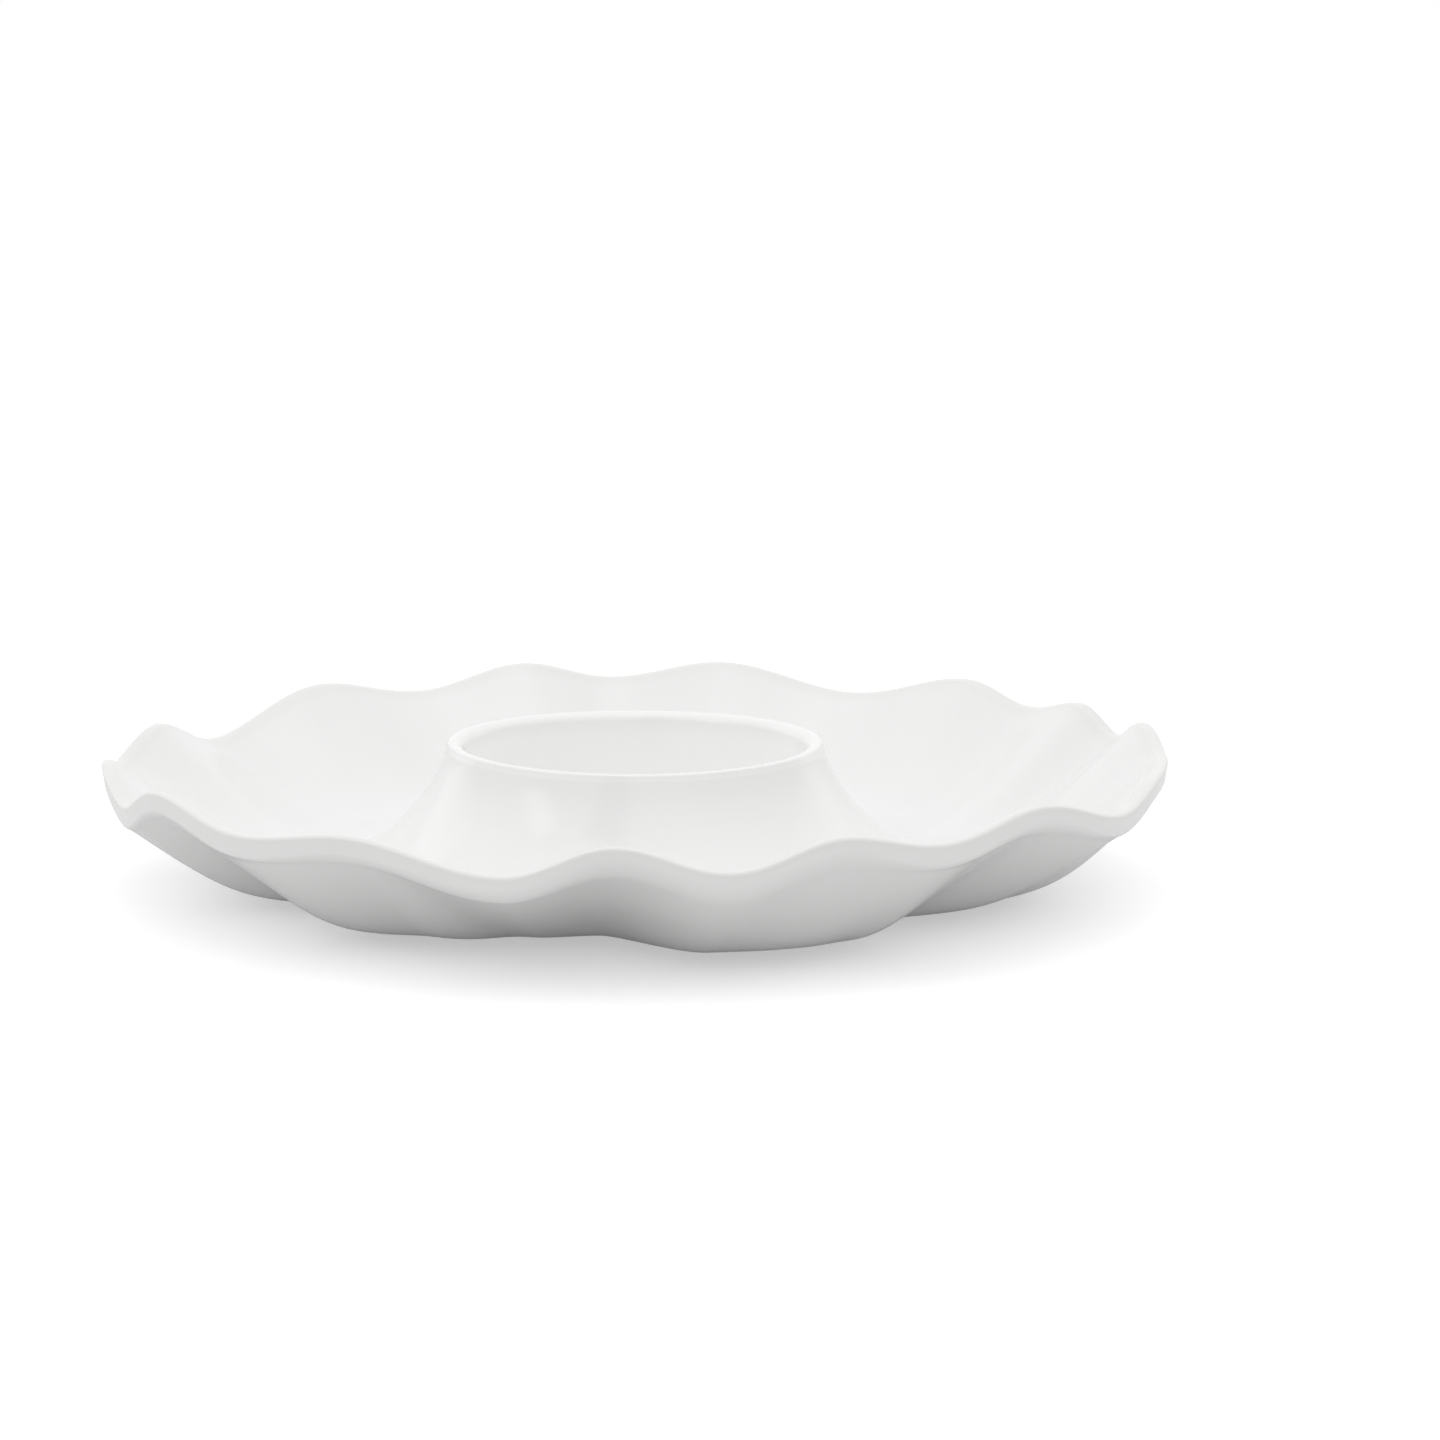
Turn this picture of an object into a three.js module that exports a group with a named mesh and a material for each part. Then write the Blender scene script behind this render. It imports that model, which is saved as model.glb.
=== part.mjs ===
// Chip and dip server: a round glazed platter with a hand-ruffled rim and a dip well that rises
// from its middle. Millimetres, +Z up, origin on the table below the middle of the platter.
//
// The pieces are the ones such a body is built from before its firing: the ruffled dish with the
// flared throat, the dip cup that hangs in that throat by its collar, and two foot rings below.
// Bearings are degrees round the middle: 0 looks to -Y (the front), 90 to +X.

import * as THREE from 'three';
import { mergeVertices } from 'three/addons/utils/BufferGeometryUtils.js';

// ---------------------------------------------------------------- driving dimensions
const DIAMETER = 406.4; // over the widest lobes of the rim
const HEIGHT = 57.15; // table to the crown of the tallest fold
const WALL = 6.5; // fired wall of the floor and the throat

const TROUGH_UNDERSIDE = 1.5; // clearance of the trough over the table
const TROUGH_TOP = TROUGH_UNDERSIDE + WALL;
const KNEE_SOFTNESS = 17; // how widely the wall bends out of the floor
const INNER_KNEE_SHIFT = 2; // the wall's top face bends this much further out than its underside

const LIP_DEPTH = 8.6; // height of the rim's upright face, crown to lower edge
const LIP_LEAN = 1; // the face leans in by this much on its way down
const LIP_STEP = 1.2; // where it isn't wiped away, the face's lower edge stands out this far
const CRISP_EDGE = 1; // size of that edge where it is left as it was cut
const WIPED_EDGE = 6.5; // and where a thumb has wiped it away
const LIP_CORNER = 1.4; // radius of the crown's outer corner
const CROWN_WIDTH = 4.5; // from there the crown rolls into the wall, a part of an ellipse
const CROWN_DROP = 2.2;
const CROWN_ROLL = 0.93; // how much of that ellipse, in radians

const WELL_TOP = 55.2; // mean crown of the dip well
const WELL_INNER_RADIUS = 65.5;
const WELL_LIP = 6; // width of the well's lip, outer corner to bore
const WELL_LIP_CORNER = 1.3; // radius of the lip's outer corner
const WELL_LIP_DROP = 4; // the lip rolls down this far into the well
const WELL_WAVE = 0.35; // half the height of the lip's slow wave
const WELL_TAPER = 3.5; // the cup narrows by this much on the way to its floor
const WELL_FLOOR = 9; // top of the cup's floor
const WELL_CORNER = 14; // fillet between the cup's wall and its floor
const CUP_WALL = 5.5;
const CUP_UNDERSIDE = 3;
const CUP_CLEARANCE = 0.9; // the cup hangs this clear of the throat's bore

const FLARE_FOOT_RADIUS = 119; // where the throat's flare runs out into the trough
const FLARE_FOOT_SOFTNESS = 7; // how widely it does so
const FLARE_POWER = 1.52; // 1 would be a cone, 2 a quarter ellipse
const COLLAR_SEAT = 40; // height at which the cup's collar sits on the throat
const THROAT_BORE = WELL_INNER_RADIUS + CUP_WALL;

const FOOT_OUTER = 94;
const FOOT_WIDTH = 6.5;
const FOOT_HEIGHT = 12;
const CENTRE_FOOT_OUTER = 46;
const CENTRE_FOOT_WIDTH = 6;
const FOOT_CHAMFER = 1.2;
const FOOT_LAND_MARGIN = 0.4; // the land below the dish is this much wider than the ring, each side

// The hand-pinched ruffle, one row for each lobe and each fold between two lobes:
// [bearing, drop of the crown below HEIGHT, inset of the lip from the full radius,
//  radius of the knee where the wall leaves the floor, lean of the flute at its foot in degrees,
//  how far the lower edge of the lip is wiped away, 0 to 1].
// Lobes hang low and bulge outward down to the knee; folds stand high and are drawn inward.
const RUFFLE = [
  [9, 12.5, 0, 153, 2, 0.9], [21, 3.5, 4.5, 165, 1, 0.5],
  [31, 8, 0, 155, -2, 0.1], [45, 1.5, 4, 132, -2, 0.4],
  [62.5, 12.3, 3.5, 148, -2, 0], [75, 6.5, 2.5, 164, -1, 0.1],
  [86.5, 5.5, 1, 156, 0, 0.1], [98, 0, 1, 149, 0, 0.3],
  [108, 10.2, 0, 150, 0, 0.1], [114.5, 1, 3.5, 144, 0, 0.5],
  [126.5, 8, 0.5, 149, 0, 0.1], [135, 0, 4.5, 143, 0, 0.5],
  [153, 11.5, 1, 149, 0, 0.1], [169, 0.5, 6.5, 141, 0, 0.7],
  [183, 8.3, 0, 148, 0, 0.1], [194, 1, 4, 142, 0, 0.6],
  [207, 11, 0, 149, 0, 0.1], [222, 3, 5, 142, 0, 0.7],
  [238.5, 18.5, 1, 150, 0, 0.1], [254, 5, 3.5, 147, 0, 0.5],
  [264.5, 13.5, 0, 151, 0, 0.1], [275, 7, 1, 150, 0, 0.1],
  [288, 15.5, 4.5, 156, 2, 0], [301.5, 3, 3.5, 131, 1, 0.2],
  [317, 10, 1.5, 156, 3, 0], [330, 6, 5.5, 147, 0, 0.3],
  [347, 14.5, 0.5, 122, -6, 0.6], [358, 4.5, 5, 117, -5, 1],
];

// Facets of each piece round its axis.
const DISH_SEGMENTS = 128;
const CUP_SEGMENTS = 64;
const FOOT_SEGMENTS = 48;

// ---------------------------------------------------------------- small helpers
const FULL_TURN = 360;
const mix = (a, b, share) => a + (b - a) * share;

// Zero far inside, a straight ramp far outside, and a soft bend `width` wide between the two.
function softRamp(distance, width) {
  return (distance + Math.hypot(distance, width)) / 2;
}

// The ruffle's values at any bearing, eased from one turning point to the next.
function ruffleAt(bearing) {
  const turned = ((bearing % FULL_TURN) + FULL_TURN) % FULL_TURN;
  const next = RUFFLE.findIndex((row) => row[0] > turned);
  const after = RUFFLE[next < 0 ? 0 : next];
  const before = RUFFLE.at(next < 0 ? -1 : next - 1);
  const span = (after[0] - before[0] + FULL_TURN) % FULL_TURN;
  const gone = (turned - before[0] + FULL_TURN) % FULL_TURN;
  const share = (1 - Math.cos((Math.PI * gone) / span)) / 2;
  const [, drop, inset, knee, lean, wiped] = before.map((value, k) => mix(value, after[k], share));
  return { crown: HEIGHT - drop, lipRadius: DIAMETER / 2 - inset, knee, lean, wiped };
}

// ---------------------------------------------------------------- the throat's flare
const FLARE_TOP_RADIUS = WELL_INNER_RADIUS + WELL_LIP;
const FLARE_REACH = FLARE_FOOT_RADIUS - FLARE_TOP_RADIUS;
const FLARE_FALL = WELL_TOP - TROUGH_TOP;

// Height of the flare above the trough's floor at a radius: a superellipse arc that lands softly.
function flareLift(radius) {
  const ramp = softRamp(FLARE_FOOT_RADIUS - radius, FLARE_FOOT_SOFTNESS) / FLARE_REACH;
  return FLARE_FALL * (1 - (1 - Math.min(ramp, 1) ** FLARE_POWER) ** (1 / FLARE_POWER));
}

// Radius of the flare at a height.
function flareRadius(height) {
  const down = (WELL_TOP - height) / FLARE_FALL;
  const ramp = FLARE_REACH * (1 - down ** FLARE_POWER) ** (1 / FLARE_POWER);
  return FLARE_FOOT_RADIUS - ramp + FLARE_FOOT_SOFTNESS ** 2 / (4 * ramp);
}

// ---------------------------------------------------------------- the ruffled dish
// Lift of the wall above its floor, from the foot ring out to a given end radius and end lift.
function wallLift(radius, knee, endRadius, endLift) {
  const rise = (r) => softRamp(r - knee, KNEE_SOFTNESS) - softRamp(FOOT_OUTER - knee, KNEE_SOFTNESS);
  return (endLift * Math.max(rise(radius), 0)) / rise(endRadius);
}

// The closed section of the dish at one bearing, anticlockwise with the radius to the right:
// up the hollow side of the throat is the start, then the underside, the lip, the top face and
// the flare. Each point is [radius, height, share of the lean].
function dishSection({ crown, lipRadius, knee, wiped }) {
  const section = [];
  const leanEnd = lipRadius - LIP_LEAN - LIP_STEP;
  const add = (r, z) => {
    const leanShare = THREE.MathUtils.clamp((leanEnd - r) / (leanEnd - FOOT_OUTER), 0, 1);
    section.push([r, z, leanShare]);
  };

  // Hollow side of the throat, from the collar's seat down to the land for the foot ring.
  const underFlare = (r) => flareLift(r + WALL / 2);
  const landInner = FOOT_OUTER - FOOT_WIDTH - FOOT_LAND_MARGIN;
  const landOuter = FOOT_OUTER + FOOT_LAND_MARGIN;
  add(THROAT_BORE, COLLAR_SEAT);
  for (const share of [0, 0.2, 0.5, 1]) {
    const r = mix(THROAT_BORE, landInner, share);
    add(r, TROUGH_UNDERSIDE + underFlare(r));
  }
  add(landInner, FOOT_HEIGHT);
  add(landOuter, FOOT_HEIGHT);

  // Underside of the trough and the wall, out to the lip.
  const underEnd = lipRadius - LIP_LEAN - LIP_STEP * (1 - wiped);
  const underEndLift = crown - LIP_DEPTH - TROUGH_UNDERSIDE;
  const wipe = mix(CRISP_EDGE, WIPED_EDGE, wiped);
  for (const share of [0.05, 0.11, 0.18, 0.26, 0.35, 0.44, 0.53, 0.63, 0.75, 0.88, 1]) {
    const r = mix(landOuter, underEnd - wipe, share);
    const wall = wallLift(r, knee, underEnd, underEndLift);
    add(r, TROUGH_UNDERSIDE + Math.hypot(wall, underFlare(r)));
  }

  // Lower edge of the lip, rounded from the underside up onto the upright face.
  const edge = new THREE.QuadraticBezierCurve(
    new THREE.Vector2(...section.at(-1)),
    new THREE.Vector2(lipRadius - LIP_LEAN, crown - LIP_DEPTH),
    new THREE.Vector2(mix(lipRadius - LIP_LEAN, lipRadius, wipe / LIP_DEPTH), crown - LIP_DEPTH + wipe),
  );
  for (const share of [0.35, 0.7, 1]) {
    const { x, y } = edge.getPoint(share);
    add(x, y);
  }

  // Outer corner of the crown, then its roll over into the wall.
  const cornerRadius = lipRadius - LIP_CORNER;
  for (const angle of [0, Math.PI / 4, Math.PI / 2]) {
    const rise = LIP_CORNER * (Math.sin(angle) - 1);
    add(cornerRadius + LIP_CORNER * Math.cos(angle), crown + rise);
  }
  for (const angle of [CROWN_ROLL / 2, CROWN_ROLL]) {
    add(cornerRadius - CROWN_WIDTH * Math.sin(angle), crown - CROWN_DROP * (1 - Math.cos(angle)));
  }

  // Top face: down the wall, across the trough and up the flare to the collar's seat.
  const [topRadius, topHeight] = section.at(-1);
  const topLift = topHeight - TROUGH_TOP;
  const seatRadius = flareRadius(COLLAR_SEAT);
  for (const share of [0.06, 0.14, 0.22, 0.3, 0.38, 0.46, 0.54, 0.62, 0.7, 0.77, 0.83, 0.89, 0.95]) {
    const r = mix(topRadius, seatRadius, share);
    const wall = wallLift(r, knee + INNER_KNEE_SHIFT, topRadius, topLift);
    add(r, TROUGH_TOP + Math.hypot(wall, flareLift(r)));
  }
  add(seatRadius, COLLAR_SEAT);
  return section;
}

// A turned ring whose section changes with the bearing: the mean section is turned on the lathe,
// then every ring of vertices is pressed to its own section, as a soft rim is pinched by hand.
function pressedRing(segments, sectionAt) {
  const section = sectionAt(0);
  const profile = [...section, section[0]].map(([r, z]) => new THREE.Vector2(r, z));
  const ring = new THREE.LatheGeometry(profile, segments);
  const vertices = ring.attributes.position;
  for (let turn = 0; turn <= segments; turn += 1) {
    const bearing = (FULL_TURN * (turn % segments)) / segments;
    const own = sectionAt(bearing);
    profile.forEach((_, k) => {
      const [r, z, lean = 0] = own[k % own.length];
      const angle = THREE.MathUtils.degToRad(bearing + lean);
      vertices.setXYZ(turn * profile.length + k, r * Math.sin(angle), z, r * Math.cos(angle));
    });
  }
  return ring;
}

function chipDish() {
  return pressedRing(DISH_SEGMENTS, (bearing) => {
    const ruffle = ruffleAt(bearing);
    return dishSection(ruffle).map(([r, z, share]) => [r, z, ruffle.lean * share]);
  });
}

// ---------------------------------------------------------------- the dip cup
// The rim of the well isn't quite level: it rises and falls by less than a millimetre, as a rim
// finished by hand does.
function wellWave(bearing) {
  const angle = THREE.MathUtils.degToRad(bearing);
  return -WELL_WAVE * (Math.cos(angle) + Math.cos(2 * angle));
}

// Points on a part of an ellipse, from one angle to another in degrees.
function arc(centreRadius, centreHeight, width, height, from, to, steps) {
  const points = [];
  for (let k = 0; k <= steps; k += 1) {
    const angle = THREE.MathUtils.degToRad(mix(from, to, k / steps));
    points.push([centreRadius + width * Math.cos(angle), centreHeight + height * Math.sin(angle)]);
  }
  return points;
}

function dipCup() {
  const floorRadius = WELL_INNER_RADIUS - WELL_TAPER;
  const lipCorner = FLARE_TOP_RADIUS - WELL_LIP_CORNER;
  const lipRoll = lipCorner - WELL_INNER_RADIUS;
  const cornerCentre = floorRadius - WELL_CORNER;
  const outerCorner = WELL_CORNER + CUP_WALL;
  const profile = [
    [0, CUP_UNDERSIDE],
    ...arc(cornerCentre, CUP_UNDERSIDE + outerCorner, outerCorner, outerCorner, -90, 0, 4),
    [THROAT_BORE - CUP_CLEARANCE, COLLAR_SEAT],
    [flareRadius(COLLAR_SEAT), COLLAR_SEAT],
    ...[0.25, 0.5, 0.75].map((share) => mix(COLLAR_SEAT, WELL_TOP - WELL_LIP_CORNER, share))
      .map((height) => [flareRadius(height), height]),
    ...arc(lipCorner, WELL_TOP - WELL_LIP_CORNER, WELL_LIP_CORNER, WELL_LIP_CORNER, 0, 90, 2),
    ...arc(lipCorner, WELL_TOP - WELL_LIP_DROP, lipRoll, WELL_LIP_DROP, 115, 180, 2),
    ...arc(cornerCentre, WELL_FLOOR + WELL_CORNER, WELL_CORNER, WELL_CORNER, 0, -90, 4),
    [0, WELL_FLOOR],
  ];
  const cup = new THREE.LatheGeometry(profile.map(([r, z]) => new THREE.Vector2(r, z)), CUP_SEGMENTS);
  const vertices = cup.attributes.position;
  for (let k = 0; k < vertices.count; k += 1) {
    const bearing = (FULL_TURN * (Math.floor(k / profile.length) % CUP_SEGMENTS)) / CUP_SEGMENTS;
    const share = Math.max(vertices.getY(k) - COLLAR_SEAT, 0) / (WELL_TOP - COLLAR_SEAT);
    vertices.setY(k, vertices.getY(k) + wellWave(bearing) * share);
  }
  return cup;
}

// ---------------------------------------------------------------- the foot rings
function footRing(outerRadius, width, height) {
  const inner = outerRadius - width;
  const profile = [
    [inner + FOOT_CHAMFER, 0],
    [outerRadius - FOOT_CHAMFER, 0],
    [outerRadius, FOOT_CHAMFER],
    [outerRadius, height],
    [inner, height],
    [inner, FOOT_CHAMFER],
    [inner + FOOT_CHAMFER, 0],
  ];
  return new THREE.LatheGeometry(profile.map(([r, z]) => new THREE.Vector2(r, z)), FOOT_SEGMENTS);
}

// ---------------------------------------------------------------- materials and assembly
const glaze = () => new THREE.MeshStandardMaterial({ color: 0xf2f2f0, roughness: 0.16, metalness: 0 });
const biscuit = () => new THREE.MeshStandardMaterial({ color: 0xe4ded2, roughness: 0.8, metalness: 0 });

// Lathes turn about Y, so each piece is stood up on Z; its seam is then closed.
function piece(name, turned, material) {
  turned.rotateX(Math.PI / 2);
  turned.deleteAttribute('normal');
  turned.deleteAttribute('uv');
  const closed = mergeVertices(turned, 1e-4);
  closed.computeVertexNormals();
  const mesh = new THREE.Mesh(closed, material);
  mesh.name = name;
  return mesh;
}

const server = new THREE.Group();
server.add(piece('chip_dish', chipDish(), glaze()));
server.add(piece('dip_cup', dipCup(), glaze()));
const outerFoot = footRing(FOOT_OUTER, FOOT_WIDTH, FOOT_HEIGHT);
const innerFoot = footRing(CENTRE_FOOT_OUTER, CENTRE_FOOT_WIDTH, CUP_UNDERSIDE);
server.add(piece('outer_foot_ring', outerFoot, biscuit()));
server.add(piece('inner_foot_ring', innerFoot, biscuit()));

export default server;
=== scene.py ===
# %% [markdown]
# # A chip and dip server in white glaze
#
# This is a round stoneware platter, 16 inches across. Its rim is ruffled by hand, and a dip well
# rises out of its middle on a flared throat. It is one fired body under one glossy white glaze,
# and it stands on two bare rings of clay.
#
# The frame that is loaded first is the measured model: it says how large each piece is and where
# it stands. Everything after it is the look of the thing: fine meshes for the four pieces, the
# glaze, the bare clay, and a plain studio round them.

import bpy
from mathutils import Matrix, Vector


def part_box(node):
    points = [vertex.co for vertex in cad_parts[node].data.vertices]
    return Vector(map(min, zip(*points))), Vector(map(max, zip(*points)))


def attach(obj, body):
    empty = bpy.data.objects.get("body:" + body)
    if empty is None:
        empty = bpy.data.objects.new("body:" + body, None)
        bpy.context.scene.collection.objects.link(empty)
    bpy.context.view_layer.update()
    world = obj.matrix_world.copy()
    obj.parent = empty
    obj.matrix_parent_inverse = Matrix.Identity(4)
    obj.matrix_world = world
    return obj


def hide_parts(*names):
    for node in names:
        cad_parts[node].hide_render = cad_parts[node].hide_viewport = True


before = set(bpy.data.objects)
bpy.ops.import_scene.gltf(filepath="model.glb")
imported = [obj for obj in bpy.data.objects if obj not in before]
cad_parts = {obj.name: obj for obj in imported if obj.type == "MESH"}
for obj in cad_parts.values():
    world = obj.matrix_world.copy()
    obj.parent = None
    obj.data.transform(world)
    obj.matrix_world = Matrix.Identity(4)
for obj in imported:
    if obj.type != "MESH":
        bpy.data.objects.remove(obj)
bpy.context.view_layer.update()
print("measured pieces:", ", ".join(sorted(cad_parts)))

# %% [markdown]
# ## Modules and units
#
# Blender counts in metres, and a potter in millimetres. The sizes below are written in
# millimetres and multiplied by `MM`.

# %% The other modules
import math

import bpy
import numpy as np
from mathutils import Matrix, Vector, noise

MM = 0.001
FULL_TURN = 2 * math.pi

# %% [markdown]
# ## The camera
#
# The platter is seen from low down and far away, so that its rim reads as a flat oval and both
# the inside and the outside of the ruffle show. A long lens keeps the near and the far rim almost
# the same size. The lens is shifted a little instead of turned, as on a studio camera, so the
# platter can sit left of the middle and low in the view while its uprights stay upright.

# %% Set up the camera
VIEW_DISTANCE = 1.5
VIEW_ELEVATION = math.radians(10.63)
VIEW_TARGET = Vector((0, 0, 30 * MM))
LENS_LENGTH = 97.95
SENSOR_WIDTH = 36
LENS_SHIFT = 0.059

lens = bpy.data.cameras.new("studio_camera")
lens.lens = LENS_LENGTH
lens.sensor_width = SENSOR_WIDTH
lens.shift_x = lens.shift_y = LENS_SHIFT
camera = bpy.data.objects.new("studio_camera", lens)
bpy.context.scene.collection.objects.link(camera)
back_and_up = Vector((0, -math.cos(VIEW_ELEVATION), math.sin(VIEW_ELEVATION)))
camera.location = VIEW_TARGET + VIEW_DISTANCE * back_and_up
camera.rotation_euler = (math.pi / 2 - VIEW_ELEVATION, 0, 0)
bpy.context.scene.camera = camera
print("camera at", tuple(round(c, 3) for c in camera.location))

# %% [markdown]
# ## The rule of the shape
#
# A platter like this is turned round on a wheel and then pinched while it is soft. So its shape
# is easy to say as a rule: a section through the wall, and a table of how that section changes
# on the way round. Lobes hang low and bulge outward right down to the floor; the folds between
# them stand high and are drawn inward. Nothing repeats exactly, which is what makes it look made
# by hand.
#
# Bearings are degrees round the middle: 0 looks to the front, 90 to the right.

# %% Sizes of the body
RIM_RADIUS = 203 * MM
RIM_TOP = 57.1 * MM
WALL = 6.5 * MM
TROUGH_UNDERSIDE = 1.5 * MM
TROUGH_TOP = TROUGH_UNDERSIDE + WALL
KNEE_SOFTNESS = 17 * MM
INNER_KNEE_SHIFT = 2 * MM

WELL_TOP = 55.2 * MM
WELL_INNER_RADIUS = 65.5 * MM
WELL_LIP = 6 * MM
FLARE_FOOT_RADIUS = 119 * MM
FLARE_POWER = 1.52
FLARE_TOP_RADIUS = WELL_INNER_RADIUS + WELL_LIP
FLARE_REACH = FLARE_FOOT_RADIUS - FLARE_TOP_RADIUS
FLARE_FALL = WELL_TOP - TROUGH_TOP
FLARE_FOOT_SOFTNESS = 7 * MM
COLLAR_SEAT = 40 * MM
CUP_WALL = 5.5 * MM

FOOT_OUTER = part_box("outer_foot_ring")[1].x
FOOT_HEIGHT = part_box("outer_foot_ring")[1].z
FOOT_WIDTH = 6.5 * MM
print(f"the outer foot ring is {2 * FOOT_OUTER / MM:.1f} mm across and {FOOT_HEIGHT / MM:.1f} mm high")

# %% [markdown]
# ### The ruffle as a table
#
# Fingers pinched this rim, so its lobes and folds differ in height, depth and width. No formula
# gives that. It is a short table instead, with one row for the middle of each lobe and each fold,
# and half a cosine wave eases every value from one row to the next, as soft clay would.

# %% The ruffle, lobe by lobe
# bearing, drop of the crown, inset of the lip, radius of the knee (mm), lean of the flute
# (degrees), and how far the lower edge of the lip is wiped away (0 to 1)
RUFFLE = np.array([
    (9, 12.5, 0, 153, 2, 0.9), (21, 3.5, 4.5, 165, 1, 0.5),
    (31, 8, 0, 155, -2, 0.1), (45, 1.5, 4, 132, -2, 0.4),
    (62.5, 12.3, 3.5, 148, -2, 0), (75, 6.5, 2.5, 164, -1, 0.1),
    (86.5, 5.5, 1, 156, 0, 0.1), (98, 0, 1, 149, 0, 0.3),
    (108, 10.2, 0, 150, 0, 0.1), (114.5, 1, 3.5, 144, 0, 0.5),
    (126.5, 8, 0.5, 149, 0, 0.1), (135, 0, 4.5, 143, 0, 0.5),
    (153, 11.5, 1, 149, 0, 0.1), (169, 0.5, 6.5, 141, 0, 0.7),
    (183, 8.3, 0, 148, 0, 0.1), (194, 1, 4, 142, 0, 0.6),
    (207, 11, 0, 149, 0, 0.1), (222, 3, 5, 142, 0, 0.7),
    (238.5, 18.5, 1, 150, 0, 0.1), (254, 5, 3.5, 147, 0, 0.5),
    (264.5, 13.5, 0, 151, 0, 0.1), (275, 7, 1, 150, 0, 0.1),
    (288, 15.5, 4.5, 156, 2, 0), (301.5, 3, 3.5, 131, 1, 0.2),
    (317, 10, 1.5, 156, 3, 0), (330, 6, 5.5, 147, 0, 0.3),
    (347, 14.5, 0.5, 122, -6, 0.6), (358, 4.5, 5, 117, -5, 1),
], dtype=float)


def ruffle_at(bearings):
    """Crown, lip, knee, lean and wipe at each bearing, eased from one turn to the next."""
    before = (np.searchsorted(RUFFLE[:, 0], bearings, side="right") - 1) % len(RUFFLE)
    after = (before + 1) % len(RUFFLE)
    span = (RUFFLE[after, 0] - RUFFLE[before, 0]) % 360
    gone = (bearings - RUFFLE[before, 0]) % 360
    share = (1 - np.cos(np.pi * gone / span)) / 2
    change = RUFFLE[after, 1:] - RUFFLE[before, 1:]
    drop, inset, knee, lean, wiped = (RUFFLE[before, 1:] + share[:, None] * change).T
    return RIM_TOP - drop * MM, RIM_RADIUS - inset * MM, knee * MM, lean, wiped


print("the ruffle turns", len(RUFFLE), "times on its way round")

# %% [markdown]
# ### The two curves of the section
#
# From the trough the clay rises twice. Inward it flares up into the throat, like the bell of a
# horn: an arc of a superellipse, which is steep at the top and lands softly. Outward it rises
# into the wall: a straight slope that starts with a soft bend at the knee.

# %% The flare of the throat and the rise of the wall
def soft_ramp(distance, width):
    """Zero far inside, a straight ramp far outside, and a soft bend between the two."""
    return (distance + np.hypot(distance, width)) / 2


def flare_lift(radius):
    """Height of the flare above the trough: an arc of a superellipse that lands softly."""
    out = np.minimum(soft_ramp(FLARE_FOOT_RADIUS - radius, FLARE_FOOT_SOFTNESS) / FLARE_REACH, 1)
    return FLARE_FALL * (1 - (1 - out ** FLARE_POWER) ** (1 / FLARE_POWER))


def flare_radius(height):
    """Radius of the flare at a height."""
    down = (WELL_TOP - height) / FLARE_FALL
    ramp = FLARE_REACH * (1 - down ** FLARE_POWER) ** (1 / FLARE_POWER)
    return FLARE_FOOT_RADIUS - ramp + FLARE_FOOT_SOFTNESS ** 2 / (4 * ramp)


def wall_lift(radius, knee, end_radius, end_lift):
    """Lift of the wall above the floor, from the foot ring out to a given end."""
    start = soft_ramp(FOOT_OUTER - knee, KNEE_SOFTNESS)
    rise = np.maximum(soft_ramp(radius - knee, KNEE_SOFTNESS) - start, 0)
    return end_lift * rise / (soft_ramp(end_radius - knee, KNEE_SOFTNESS) - start)


print(f"the flare is {flare_radius(COLLAR_SEAT) / MM:.1f} mm in radius where the collar sits")

# %% [markdown]
# ## Working by hand, in code
#
# Blender's operators act on whatever is selected, so each piece starts from an empty selection.
# These few helpers do what a hand would do with the mouse: put everything down, turn a section
# round the wheel, and close the seam.

# %% Helpers for the workbench
SAME_PLACE = 1e-6  # vertices closer than this many metres are joined


def put_down():
    """Leaves edit mode and deselects everything."""
    if bpy.context.object and bpy.context.object.mode != "OBJECT":
        bpy.ops.object.mode_set(mode="OBJECT")
    bpy.ops.object.select_all(action="DESELECT")


def close_and_turn_outward(piece):
    """Joins the seam of a turned shell and points its faces outward."""
    bpy.ops.object.mode_set(mode="EDIT")
    bpy.ops.mesh.select_all(action="SELECT")
    bpy.ops.mesh.remove_doubles(threshold=SAME_PLACE)
    bpy.ops.mesh.normals_make_consistent(inside=False)
    bpy.ops.object.mode_set(mode="OBJECT")


def turn_section(name, section, turns):
    """Lays a closed section, pairs of radius and height, on the wheel and turns it full circle."""
    put_down()
    # the circle only gives the loop of vertices, and each is then set on the section
    bpy.ops.mesh.primitive_circle_add(vertices=len(section), radius=10 * MM)
    piece = bpy.context.object
    piece.name = piece.data.name = name
    for vertex, (radius, height) in zip(piece.data.vertices, section):
        vertex.co = (0, -radius, height)
    bpy.ops.object.mode_set(mode="EDIT")
    bpy.ops.mesh.select_all(action="SELECT")
    bpy.ops.mesh.spin(steps=turns, angle=FULL_TURN, center=(0, 0, 0), axis=(0, 0, 1))
    close_and_turn_outward(piece)
    return piece


def read_points(piece):
    """The vertices of a piece, one row each."""
    points = np.empty(len(piece.data.vertices) * 3)
    piece.data.vertices.foreach_get("co", points)
    return points.reshape(-1, 3)


def write_points(piece, points):
    """Moves the vertices of a piece to these places."""
    piece.data.vertices.foreach_set("co", points.ravel())
    piece.data.update()


def round_the_middle(points):
    """Radius, height and bearing in degrees of every point."""
    bearing = np.degrees(np.arctan2(points[:, 0], -points[:, 1])) % 360
    return np.hypot(points[:, 0], points[:, 1]), points[:, 2], bearing


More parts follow.
